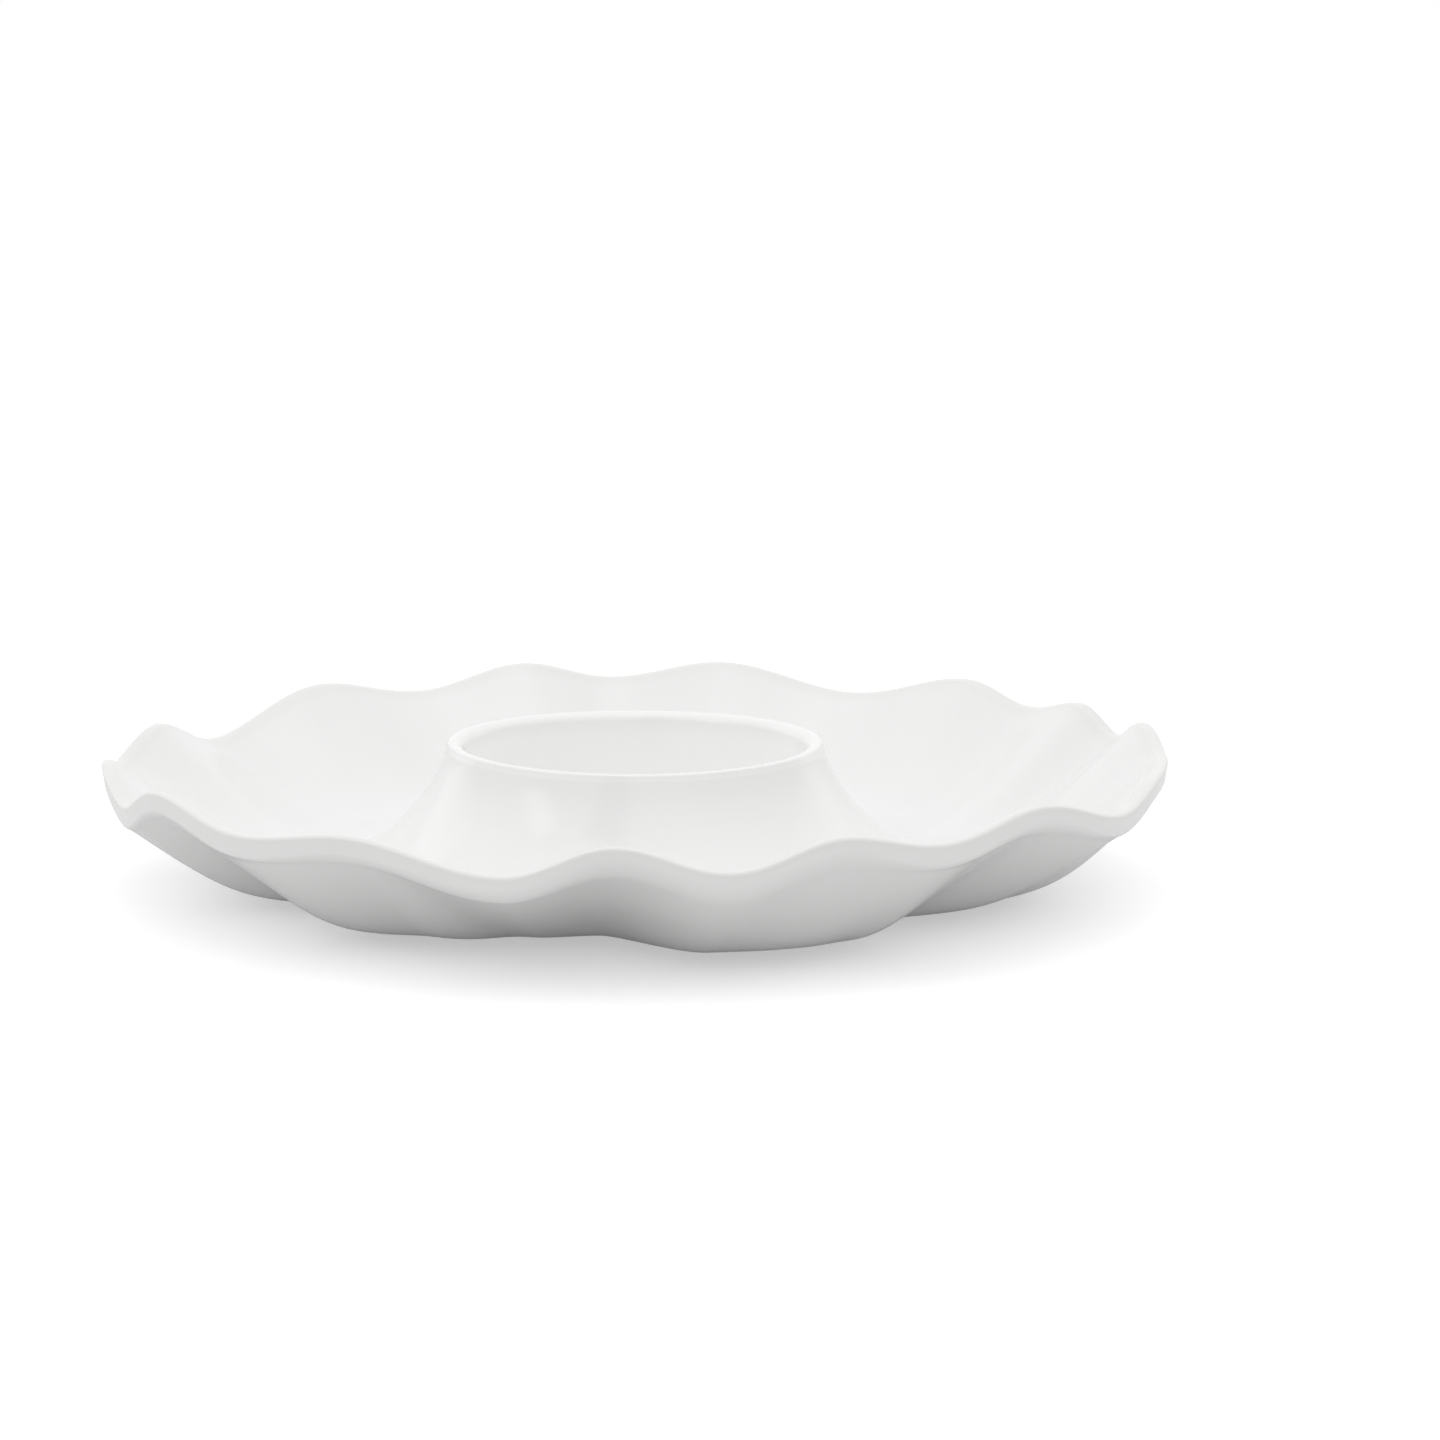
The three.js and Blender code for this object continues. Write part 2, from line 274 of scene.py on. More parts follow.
def report(piece):
    """Prints how large a piece is and where it starts."""
    points = read_points(piece)
    low, high = points.min(axis=0) / MM, points.max(axis=0) / MM
    size = " x ".join(f"{s:.1f}" for s in high - low)
    print(f"{piece.name}: {len(piece.data.polygons)} faces, {size} mm, from z {low[2]:.2f}")


print("the workbench is ready")

# %% [markdown]
# ## The ruffled dish
#
# One section of the wall is a loop of points. It is written so that the same run of points fits
# any bearing, because the knee, the crown and the lip come in as values.
#
# ### The lip
#
# The lip is a slab of clay with an upright outer face. Its outer corner is only just softened,
# and its top rolls gently over into the wall. The lower edge of the face is a clear step on most
# lobes. Where a thumb drew the clay inward it also wiped that edge away, so there the face runs
# softly into the wall.

# %% The lip of the dish
LIP_CORNER = 1.4 * MM
LIP_DEPTH = 8.6 * MM
LIP_LEAN = 1 * MM
LIP_STEP = 1.2 * MM
CROWN_WIDTH, CROWN_DROP = 4.5 * MM, 2.2 * MM
CROWN_ROLL = 0.93  # the crown rolls this far over into the wall, in radians
CRISP_EDGE = 1 * MM
WIPED_EDGE = 6.5 * MM

WIPE_POINTS, CORNER_POINTS, CROWN_POINTS = 11, 8, 8
FACE_SHARES = (0.33, 0.67)  # two more points on the upright face


def rounded_edge(before, edge, after, steps):
    """A curve that starts at `before`, is drawn toward the edge, and ends at `after`."""
    for t in np.linspace(0, 1, steps):
        yield (1 - t) ** 2 * before + 2 * t * (1 - t) * edge + t ** 2 * after


def lip_points(before, crown, lip_radius, wipe):
    """From the underside over the wiped edge, up the face, round the corner and over the crown."""
    face_foot = np.stack([lip_radius - LIP_LEAN, crown - LIP_DEPTH], axis=-1)
    face_top = np.stack([lip_radius, crown - LIP_CORNER], axis=-1)
    face_start = face_foot + (face_top - face_foot) * wipe[:, None] / (LIP_DEPTH - LIP_CORNER)
    yield from list(rounded_edge(before, face_foot, face_start, WIPE_POINTS))[1:]
    yield from (face_start + (face_top - face_start) * share for share in FACE_SHARES)
    for turn in np.linspace(0, math.pi / 2, CORNER_POINTS):
        out = lip_radius + LIP_CORNER * (math.cos(turn) - 1)
        yield np.stack([out, crown + LIP_CORNER * (math.sin(turn) - 1)], axis=-1)
    for turn in np.linspace(0, CROWN_ROLL, CROWN_POINTS)[1:]:
        out = lip_radius - LIP_CORNER - CROWN_WIDTH * math.sin(turn)
        yield np.stack([out, crown - CROWN_DROP * (1 - math.cos(turn))], axis=-1)


print(f"the lip is {LIP_DEPTH / MM:.1f} mm deep")

# %% [markdown]
# ### The whole section
#
# The loop starts at the collar's seat and goes down the hollow side of the throat. It crosses the
# land of the foot, follows the underside out to the lip, and comes back over the lip, down the
# inside of the wall, across the trough and up the flare.

# %% The section of the dish
LAND_MARGIN = 0.4 * MM
HOLLOW_POINTS, UNDERSIDE_POINTS, INSIDE_POINTS = 10, 46, 70
OFF_THE_LAND = 0.012  # the underside starts at this share of the way from the land to the lip


def dish_section(crown, lip_radius, knee, wiped):
    """The loop of (radius, height) pairs at each bearing: an array of bearings x points x 2."""
    def at(radius, height):
        pair = np.stack(np.broadcast_arrays(radius, height), axis=-1)
        return np.broadcast_to(pair, (len(crown), 2))

    land_inner = FOOT_OUTER - FOOT_WIDTH - LAND_MARGIN
    land_outer = FOOT_OUTER + LAND_MARGIN
    bore = WELL_INNER_RADIUS + CUP_WALL
    loop = [at(bore, COLLAR_SEAT)]

    # the hollow side of the throat, down to the land that the foot ring is stuck to
    for radius in np.linspace(bore, land_inner, HOLLOW_POINTS):
        loop.append(at(radius, TROUGH_UNDERSIDE + flare_lift(radius + WALL / 2)))
    loop += [at(land_inner, FOOT_HEIGHT), at(land_outer, FOOT_HEIGHT)]

    # the underside, out to just before the lip, and the lip
    wipe = CRISP_EDGE + (WIPED_EDGE - CRISP_EDGE) * wiped
    lip_inner = lip_radius - LIP_LEAN - LIP_STEP * (1 - wiped)
    under_lift = crown - LIP_DEPTH - TROUGH_UNDERSIDE
    under_end = lip_inner - wipe
    for share in np.linspace(OFF_THE_LAND, 1, UNDERSIDE_POINTS):
        radius = land_outer + (under_end - land_outer) * share
        wall = wall_lift(radius, knee, lip_inner, under_lift)
        flare = flare_lift(radius + WALL / 2)
        loop.append(at(radius, TROUGH_UNDERSIDE + np.hypot(wall, flare)))
    loop += lip_points(loop[-1], crown, lip_radius, wipe)

    # the inside of the wall, the trough, and the flare up to the collar's seat
    top_radius, top_lift = loop[-1][:, 0], loop[-1][:, 1] - TROUGH_TOP
    for share in np.linspace(0, 1, INSIDE_POINTS)[1:]:
        radius = top_radius + (flare_radius(COLLAR_SEAT) - top_radius) * share
        wall = wall_lift(radius, knee + INNER_KNEE_SHIFT, top_radius, top_lift)
        loop.append(at(radius, TROUGH_TOP + np.hypot(wall, flare_lift(radius))))
    return np.stack(loop, axis=1)


# crown, lip, knee and wipe of the dish as it comes off the wheel, before it is pinched
MEAN_SHAPE = (50 * MM, 200 * MM, 140 * MM, 0.5)
mean_section = dish_section(*(np.array([value]) for value in MEAN_SHAPE))[0]
print("the section has", len(mean_section), "points")

# %% [markdown]
# ### Turned first, then pinched
#
# The mean section is turned on the wheel first, which gives a perfectly round dish. Then every
# vertex is pressed to the section of its own bearing. That step is done by a formula and not by
# an operator: pinching is a move of every point at once, and a formula keeps the inside and the
# outside of the wall together.

# %% Turn the dish and press its ruffle
TURNS = 480


def press_ruffle(dish):
    """Moves every vertex from its place on the mean section to the same place on its own one."""
    points = read_points(dish)
    radius, height, bearing = round_the_middle(points)
    across = radius[:, None] - mean_section[:, 0]
    up = height[:, None] - mean_section[:, 1]
    place_on_loop = (across ** 2 + up ** 2).argmin(axis=1)

    crown, lip_radius, knee, lean, wiped = ruffle_at(bearing)
    section = dish_section(crown, lip_radius, knee, wiped)[np.arange(len(points)), place_on_loop]
    reach = lip_radius - LIP_LEAN - LIP_STEP
    flute = np.clip((reach - section[:, 0]) / (reach - FOOT_OUTER), 0, 1)
    turned = np.radians(bearing + lean * flute)
    pressed_x, pressed_y = section[:, 0] * np.sin(turned), -section[:, 0] * np.cos(turned)
    write_points(dish, np.stack([pressed_x, pressed_y, section[:, 1]], axis=1))


dish = turn_section("ruffled_dish", mean_section, TURNS)
press_ruffle(dish)
report(dish)

# %% [markdown]
# ## The dip well
#
# The well is pulled up ring by ring, the way a pot is thrown: a disc is the underside, and its
# edge is extruded and scaled along the outside, over the lip, and down the inside to the floor.
# Its collar follows the same flare as the dish, so the joint disappears under the glaze.

# %% Throw the dip well
WELL_LIP_CORNER = 1.3 * MM
WELL_LIP_DROP = 4 * MM
WELL_WAVE = 0.35 * MM
WELL_FLOOR = 9 * MM
WELL_TAPER = 3.5 * MM
WELL_CORNER = 14 * MM
COLLAR_STEP = 0.9 * MM
CUP_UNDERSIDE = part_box("dip_cup")[0].z

UNDERSIDE_RINGS = (0.3, 0.6, 0.8)  # shares of the flat part's radius
FLOOR_RINGS = (0.85, 0.65, 0.4, 0.2)
COLLAR_RINGS, WALL_RINGS = 15, 12
ROLL_START = 97  # degrees: just past the top, so that no two rings lie on each other


def arc(centre, width, height, start, end, steps):
    """Points on a part of an ellipse; angles in degrees from straight out."""
    for angle in np.radians(np.linspace(start, end, steps)):
        yield centre[0] + width * math.cos(angle), centre[1] + height * math.sin(angle)


def well_rings():
    """Radius and height of every ring, from the middle of the underside to the middle of the floor."""
    floor_radius = WELL_INNER_RADIUS - WELL_TAPER
    corner = floor_radius - WELL_CORNER
    outer = WELL_CORNER + CUP_WALL
    lip_corner = FLARE_TOP_RADIUS - WELL_LIP_CORNER
    corner_height, roll_height = WELL_TOP - WELL_LIP_CORNER, WELL_TOP - WELL_LIP_DROP
    roll = lip_corner - WELL_INNER_RADIUS
    floor_height = WELL_FLOOR + WELL_CORNER

    # the underside and its round corner, up to the dish
    yield from ((corner * share, CUP_UNDERSIDE) for share in UNDERSIDE_RINGS)
    yield from arc((corner, CUP_UNDERSIDE + outer), outer, outer, start=-90, end=0, steps=12)
    yield WELL_INNER_RADIUS + CUP_WALL - COLLAR_STEP, COLLAR_SEAT

    # the collar along the flare, the corner of the lip, and the roll into the mouth
    for height in np.linspace(COLLAR_SEAT, corner_height, COLLAR_RINGS)[:-1]:
        yield flare_radius(height), height
    round_corner = (lip_corner, corner_height), WELL_LIP_CORNER, WELL_LIP_CORNER
    yield from arc(*round_corner, start=0, end=90, steps=8)
    yield from arc((lip_corner, roll_height), roll, WELL_LIP_DROP, ROLL_START, end=180, steps=12)

    # the inside of the wall, the corner at its foot, and the floor
    for share in np.linspace(0, 1, WALL_RINGS)[1:-1]:
        yield WELL_INNER_RADIUS - WELL_TAPER * share, roll_height + share * (floor_height - roll_height)
    yield from arc((corner, floor_height), WELL_CORNER, WELL_CORNER, start=0, end=-90, steps=14)
    yield from ((corner * share, WELL_FLOOR) for share in FLOOR_RINGS)


def throw_well():
    """Extrudes the edge of a disc from ring to ring."""
    put_down()
    rings = list(well_rings())
    first_radius, first_height = rings[0]
    bpy.ops.mesh.primitive_circle_add(vertices=TURNS, radius=first_radius, fill_type="NGON")
    well = bpy.context.object
    well.name = well.data.name = "dip_well"
    bpy.ops.object.mode_set(mode="EDIT")
    bpy.ops.mesh.select_all(action="SELECT")
    bpy.ops.transform.translate(value=(0, 0, first_height))
    previous_radius, previous_height = rings[0]
    for radius, height in rings[1:]:
        rise = (0, 0, height - previous_height)
        bpy.ops.mesh.extrude_region_move(TRANSFORM_OT_translate={"value": rise})
        grow = radius / previous_radius
        bpy.ops.transform.resize(value=(grow, grow, 1), center_override=(0, 0, height))
        previous_radius, previous_height = radius, height
    return well


well = throw_well()
print("the well is pulled up through", len(list(well_rings())), "rings")

# %% [markdown]
# ### The rim of the well isn't quite level
#
# Soft clay settles as it dries. The rim of the well therefore rises and falls by less than a
# millimetre on its way round. The collar sits on the dish, so the wave starts from nothing there.

# %% Close the well and settle its rim
def settle_rim(well):
    """Lowers the rim by a slow wave that grows from the collar's seat upward."""
    points = read_points(well)
    height, bearing = round_the_middle(points)[1:]
    turn = np.radians(bearing)
    share = np.clip((height - COLLAR_SEAT) / (WELL_TOP - COLLAR_SEAT), 0, None)
    points[:, 2] -= share * WELL_WAVE * (np.cos(turn) + np.cos(2 * turn))
    write_points(well, points)


close_and_turn_outward(well)
settle_rim(well)
report(well)

# %% [markdown]
# ## The foot rings
#
# A foot ring is a coil of clay stuck under the dish and ground flat. It is made from a circle:
# extrude the edge inward for the standing face, pull that up to the height of the ring, and bevel
# the edges, because grinding leaves them slightly soft.

# %% Model the two foot rings
RING_TURNS = 240
INNER_FOOT_WIDTH = 6 * MM
OUTER_SOFTNESS, INNER_SOFTNESS = 1.1 * MM, 0.9 * MM
EDGE_STEPS = 4
SHARP_FROM = 40  # degrees: edges that turn by more than this are bevelled


def foot_ring(name, node, width, height, soft):
    """A ring as wide as its measured piece, with its edges softened by `soft`."""
    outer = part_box(node)[1].x
    put_down()
    bpy.ops.mesh.primitive_circle_add(vertices=RING_TURNS, radius=outer, fill_type="NOTHING")
    ring = bpy.context.object
    ring.name = ring.data.name = name
    bpy.ops.object.mode_set(mode="EDIT")
    bpy.ops.mesh.select_all(action="SELECT")
    bpy.ops.mesh.extrude_edges_move()
    inward = (outer - width) / outer
    bpy.ops.transform.resize(value=(inward, inward, 1), center_override=(0, 0, 0))
    bpy.ops.mesh.select_all(action="SELECT")
    bpy.ops.mesh.extrude_region_move(TRANSFORM_OT_translate={"value": (0, 0, height)})
    close_and_turn_outward(ring)
    bevel = ring.modifiers.new("ground_edge", "BEVEL")
    bevel.width = soft
    bevel.segments = EDGE_STEPS
    bevel.limit_method = "ANGLE"
    bevel.angle_limit = math.radians(SHARP_FROM)
    bpy.ops.object.modifier_apply(modifier="ground_edge")
    report(ring)
    return ring


outer_ring = foot_ring("outer_foot", "outer_foot_ring", FOOT_WIDTH, FOOT_HEIGHT, OUTER_SOFTNESS)
inner_ring = foot_ring(
    "inner_foot", "inner_foot_ring", INNER_FOOT_WIDTH, CUP_UNDERSIDE, INNER_SOFTNESS)

# %% [markdown]
# ## The unevenness of a hand-made wall
#
# A thrown and pinched wall is never a true surface. A slow wave of two or three tenths of a
# millimetre is invisible as shape, but the gloss shows it at once: reflections bend and break.
# The wave is a function of the place in space, so the dish and the well move together and their
# joint stays shut.

# %% Give the walls their slow wave
WAVE_HEIGHT = 0.25 * MM
WAVES_PER_METRE = 22
WAVE_GROWS_TO = 25 * MM  # the wave grows from the table up to this height
WAVE_FADES_OVER = 12 * MM  # and dies away over this depth below the rim
GLAZED_EDGE, GROUND_EDGE = 50, 35  # degrees: sharper edges than this stay sharp in the shading


def ease(share):
    """0 to 1 with a soft start and a soft end."""
    share = np.clip(share, 0, 1)
    return share * share * (3 - 2 * share)


def add_slow_wave(piece):
    """Raises and lowers the wall by a slow noise."""
    points = read_points(piece)
    push = np.array([noise.noise(Vector(row) * WAVES_PER_METRE) for row in points])
    foot_fade = ease(points[:, 2] / WAVE_GROWS_TO)
    rim_fade = ease((RIM_TOP - points[:, 2]) / WAVE_FADES_OVER)
    points[:, 2] += WAVE_HEIGHT * push * foot_fade * rim_fade
    write_points(piece, points)


def smooth(piece, sharpest):
    """Shades a piece smooth, except along edges that turn by more than `sharpest` degrees."""
    put_down()
    piece.select_set(True)
    bpy.context.view_layer.objects.active = piece
    bpy.ops.object.shade_smooth_by_angle(angle=math.radians(sharpest))


for piece in (dish, well):
    add_slow_wave(piece)
    smooth(piece, GLAZED_EDGE)
    report(piece)

for ring in (outer_ring, inner_ring):
    smooth(ring, GROUND_EDGE)

# %% [markdown]
# ## The finishes
#
# Two finishes cover the whole piece. The glaze is a layer of glass over white clay: glossy and
# nearly neutral, and a touch greyer and warmer where it drew thin over the ruffled lip. It is
# whitest in and round the well, where a lighter white is painted light on the inside, the lip and
# the collar. The bare clay of the foot is matt, cream and sandy.
#
# Both need soft patches that have no edges, so that is a node group of its own, built once.

# %% A node group for soft patches
NOISE_LOW, NOISE_HIGH = 0.3, 0.7  # most of the noise lies between these two values


def new_group(name, inputs, outputs):
    """An empty node group with named sockets."""
    group = bpy.data.node_groups.new(name, "ShaderNodeTree")
    for label, kind, value in inputs:
        socket = group.interface.new_socket(label, in_out="INPUT", socket_type=kind)
        socket.default_value = value
    for label, kind in outputs:
        group.interface.new_socket(label, in_out="OUTPUT", socket_type=kind)
    return group


def soft_patches():
    """Outputs a mask from 0 to 1 that drifts over the surface, and a height for a Bump node."""
    group = new_group(
        "soft_patches",
        [("Patch Scale", "NodeSocketFloat", 20.0), ("Ripple Scale", "NodeSocketFloat", 90.0)],
        [("Mask", "NodeSocketFloat"), ("Height", "NodeSocketFloat")])
    nodes, link = group.nodes, group.links.new
    entry, leave = nodes.new("NodeGroupInput"), nodes.new("NodeGroupOutput")
    place = nodes.new("ShaderNodeTexCoord")

    patches = nodes.new("ShaderNodeTexNoise")
    patches.inputs["Detail"].default_value = 2
    link(place.outputs["Object"], patches.inputs["Vector"])
    link(entry.outputs["Patch Scale"], patches.inputs["Scale"])
    spread = nodes.new("ShaderNodeMapRange")
    spread.inputs["From Min"].default_value = NOISE_LOW
    spread.inputs["From Max"].default_value = NOISE_HIGH
    link(patches.outputs["Fac"], spread.inputs["Value"])
    link(spread.outputs["Result"], leave.inputs["Mask"])

    ripples = nodes.new("ShaderNodeTexNoise")
    ripples.inputs["Detail"].default_value = 1
    link(place.outputs["Object"], ripples.inputs["Vector"])
    link(entry.outputs["Ripple Scale"], ripples.inputs["Scale"])
    link(ripples.outputs["Fac"], leave.inputs["Height"])
    return group


patch_group = soft_patches()
print("node group:", patch_group.name)

# %% [markdown]
# ### What every material starts from
#
# Each material here is one Principled shader, and most of its colours are a drift between two.
# Both are made by a short function, so that a material below shows only what is its own.

# %% Start a material
def new_material(name):
    """A fresh node material: its tree, its Principled shader, and the two usual shortcuts."""
    material = bpy.data.materials.new(name)
    material.use_nodes = True
    nodes, link = material.node_tree.nodes, material.node_tree.links.new
    nodes.clear()
    shader = nodes.new("ShaderNodeBsdfPrincipled")
    surface = nodes.new("ShaderNodeOutputMaterial")
    link(shader.outputs["BSDF"], surface.inputs["Surface"])
    return material, nodes, link, shader


def mix_colours(nodes, link, factor, first, second):
    """A Mix node between two colours; each is a socket or a plain colour."""
    mix = nodes.new("ShaderNodeMix")
    mix.data_type = "RGBA"
    link(factor, mix.inputs["Factor"])
    for socket, value in ((mix.inputs["A"], first), (mix.inputs["B"], second)):
        if isinstance(value, tuple):
            socket.default_value = (*value, 1)
        else:
            link(value, socket)
    return mix.outputs["Result"]


def add_patches(nodes, patch_scale, ripple_scale):
    """Places the group of soft patches in a material, with its own two scales."""
    patches = nodes.new("ShaderNodeGroup")
    patches.node_tree = patch_group
    patches.inputs["Patch Scale"].default_value = patch_scale
    patches.inputs["Ripple Scale"].default_value = ripple_scale
    return patches


def add_ripples(nodes, link, patches, shader, strength, depth):
    """Bends the surface of a material by the height of the patches."""
    bump = nodes.new("ShaderNodeBump")
    bump.inputs["Strength"].default_value = strength
    bump.inputs["Distance"].default_value = depth
    link(patches.outputs["Height"], bump.inputs["Height"])
    link(bump.outputs["Normal"], shader.inputs["Normal"])


print("the shortcuts are ready")

# %% [markdown]
# ### Where the glaze is thin, where it is thick, and where light is painted
#
# Glaze runs while it melts. On the dish it draws thin over the lip and lies thicker where it
# gathers, and both change its white a little. On the well the same two marks carry painted light:
# a lighter white inside and over the lip and collar. Only the maker of the mesh knows where those
# places are, so each is kept on the mesh itself as a value per vertex, and the material reads it
# with an Attribute node.

# %% Mark where the glaze is thin and where it is thick
LIP_BAND = 3.5 * MM
LIP_STARTS = 180 * MM
COLLAR_BAND = 9 * MM
POOL_DEPTH = 10 * MM
MOUTH_MARGIN = 1 * MM
MOUTH_START, MOUTH_FADE = 1.5 * MM, 3 * MM


def mark_glaze(piece, mark, amount):
    """Keeps an amount from 0 to 1 on every vertex of a piece."""
    layer = piece.data.attributes.new(mark, "FLOAT", "POINT")
    layer.data.foreach_set("value", np.clip(amount, 0, 1))


# on the dish it is thin along the crown of the lip, and thick where it ran into the trough
radius, height, bearing = round_the_middle(read_points(dish))
below_crown = ruffle_at(bearing)[0] - height
mark_glaze(dish, "glaze_thin_and_painted_light", (1 - below_crown / LIP_BAND) * (radius > LIP_STARTS))
mark_glaze(dish, "glaze_pool_and_painted_light", ease((TROUGH_TOP + POOL_DEPTH - height) / POOL_DEPTH))

# on the well both marks are painted light: a lighter white over the lip and the collar, and inside,
# from below the mouth
radius, height, bearing = round_the_middle(read_points(well))
mark_glaze(well, "glaze_thin_and_painted_light", ease(1 - (WELL_TOP - height) / COLLAR_BAND))
inside = radius < WELL_INNER_RADIUS + MOUTH_MARGIN
below_mouth = ease((WELL_TOP - MOUTH_START - height) / MOUTH_FADE)
mark_glaze(well, "glaze_pool_and_painted_light", inside * below_mouth)
print("the glaze is marked on the dish and the well")

# %% [markdown]
# ### White gloss glaze
#
# The colour drifts between two near whites, then takes the tint of thick or thin glaze where the
# marks say so. The gloss drifts a little too, and a faint ripple bends the reflections, because
# melted glass never lies perfectly flat. The well's glaze is the same one, but its two marked
# tints are a lighter white: painted light inside the well and over its lip and collar.

# %% Mix the white glaze
DRIFT_COLOURS = (0.855, 0.855, 0.85), (0.875, 0.875, 0.87)
DISH_THICK, DISH_THIN = (0.86, 0.865, 0.865), (0.82, 0.818, 0.805)
# painted light: the well's glaze is a lighter white inside and over its lip and collar
WELL_PAINTED_LIGHT_INSIDE, WELL_PAINTED_LIGHT_LIP = (0.94, 0.94, 0.935), (0.9, 0.9, 0.893)
SMOOTHEST, ROUGHEST = 0.13, 0.19
GLASS_IOR = 1.5


def white_glaze(name, pool_and_painted_light_colour, thin_and_painted_light_colour):
    """The glaze, with its tints where it is marked as thick and as thin; on the well they are painted
    light.
    """
    material, nodes, link, shader = new_material(name)
    patches = add_patches(nodes, patch_scale=14, ripple_scale=70)
    colour = mix_colours(nodes, link, patches.outputs["Mask"], *DRIFT_COLOURS)
    # on the dish these are tints of thick and thin glaze; on the well they are painted light
    for mark, marked_colour in (("glaze_pool_and_painted_light", pool_and_painted_light_colour), ("glaze_thin_and_painted_light", thin_and_painted_light_colour)):
        amount = nodes.new("ShaderNodeAttribute")
        amount.attribute_name = mark
        colour = mix_colours(nodes, link, amount.outputs["Fac"], colour, marked_colour)
    link(colour, shader.inputs["Base Color"])

    gloss = nodes.new("ShaderNodeMapRange")
    gloss.inputs["To Min"].default_value = SMOOTHEST
    gloss.inputs["To Max"].default_value = ROUGHEST
    link(patches.outputs["Mask"], gloss.inputs["Value"])
    link(gloss.outputs["Result"], shader.inputs["Roughness"])
    shader.inputs["IOR"].default_value = GLASS_IOR
    add_ripples(nodes, link, patches, shader, strength=0.1, depth=0.3 * MM)
    return material


dish_glaze = white_glaze("white_gloss_glaze", DISH_THICK, DISH_THIN)
# the well's glaze carries painted light in its two lighter tints
well_glaze_painted_light = white_glaze("white_gloss_glaze_well_painted_light", WELL_PAINTED_LIGHT_INSIDE, WELL_PAINTED_LIGHT_LIP)
print("glazes:", dish_glaze.name, well_glaze_painted_light.name)

# %% [markdown]
# ### Bare fired clay
#
# Glaze would glue the platter to the kiln's shelf, so the feet are wiped clean before the firing.
# What shows there is the clay itself: matt and cream, with fine grains of sand. A Voronoi texture
# gives the grains, because each of its cells has one centre, and that centre becomes a grain.

# %% Mix the bare clay
CREAM_COLOURS = (0.72, 0.66, 0.56), (0.8, 0.75, 0.67)
SAND_COLOUR = (0.6, 0.53, 0.43)
GRAINS_PER_METRE = 900
GRAIN_CORE, GRAIN_EDGE = 0.05, 0.22  # shares of the distance from one grain to the next
CLAY_ROUGHNESS = 0.85


def bare_clay():
    """Cream clay with grains of sand in it."""
    material, nodes, link, shader = new_material("bare_fired_clay")
    patches = add_patches(nodes, patch_scale=60, ripple_scale=2200)

    place = nodes.new("ShaderNodeTexCoord")
    sand = nodes.new("ShaderNodeTexVoronoi")
    sand.inputs["Scale"].default_value = GRAINS_PER_METRE
    link(place.outputs["Object"], sand.inputs["Vector"])
    grains = nodes.new("ShaderNodeMapRange")
    grains.inputs["From Min"].default_value = GRAIN_CORE
    grains.inputs["From Max"].default_value = GRAIN_EDGE
    grains.inputs["To Min"].default_value = 1
    grains.inputs["To Max"].default_value = 0
    link(sand.outputs["Distance"], grains.inputs["Value"])

    body = mix_colours(nodes, link, patches.outputs["Mask"], *CREAM_COLOURS)
    sandy = mix_colours(nodes, link, grains.outputs["Result"], body, SAND_COLOUR)
    link(sandy, shader.inputs["Base Color"])
    shader.inputs["Roughness"].default_value = CLAY_ROUGHNESS
    add_ripples(nodes, link, patches, shader, strength=0.6, depth=0.15 * MM)
    return material


clay = bare_clay()
print("clay:", clay.name)

# %% [markdown]
# ## Joining the looks to the measured model
#
# Each fine piece rides on the body, takes over from the measured piece it stands for, and is
# given its finish.

# %% Hand each piece over
def stand_in(piece, node, material):
    """Dresses a piece and lets it take the place of a measured one."""
    piece.data.materials.clear()
    piece.data.materials.append(material)
    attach(piece, "root")
    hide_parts(node)


stand_in(dish, "chip_dish", dish_glaze)
stand_in(well, "dip_cup", well_glaze_painted_light)
stand_in(outer_ring, "outer_foot_ring", clay)
stand_in(inner_ring, "inner_foot_ring", clay)
print("four pieces stand in for four measured pieces")

# %% [markdown]
# ## The studio
#
# The platter stands on a wide white table under a white sky, as in a light tent. The camera sees
# the table as paper white, with the platter's soft shadow left on it. For every other ray it is a
# light grey with a faint glow of its own, so the underside of the rim is lit softly from below
# and still keeps its shade.

# %% Lay the table
TABLE_SIZE = 24
TABLE_GREY, PAPER_GREY = (0.7, 0.7, 0.7), (0.72, 0.72, 0.72)
TABLE_GLOW, PAPER_GLOW = 0.065, 0.42  # for all rays, and for the camera


def white_table():
    """A plane so wide that its far edge lies beyond the view."""
    put_down()
    bpy.ops.mesh.primitive_plane_add(size=TABLE_SIZE)
    table = bpy.context.object
    table.name = table.data.name = "white_table"
    return table


def table_paper():
    """Grey with a faint glow, except where the camera looks straight at it: there, paper white."""
    material, nodes, link, shader = new_material("table_paper")
    seen = nodes.new("ShaderNodeLightPath")
    paper = mix_colours(nodes, link, seen.outputs["Is Camera Ray"], TABLE_GREY, PAPER_GREY)
    link(paper, shader.inputs["Base Color"])
    shader.inputs["Roughness"].default_value = 1
    shader.inputs["Specular IOR Level"].default_value = 0
    shader.inputs["Emission Color"].default_value = (1, 1, 1, 1)
    glow = nodes.new("ShaderNodeMath")
    glow.operation = "MULTIPLY_ADD"
    glow.inputs[1].default_value = PAPER_GLOW - TABLE_GLOW
    glow.inputs[2].default_value = TABLE_GLOW
    link(seen.outputs["Is Camera Ray"], glow.inputs[0])
    link(glow.outputs["Value"], shader.inputs["Emission Strength"])
    return material


table = white_table()
table.data.materials.append(table_paper())
print("the table is laid")

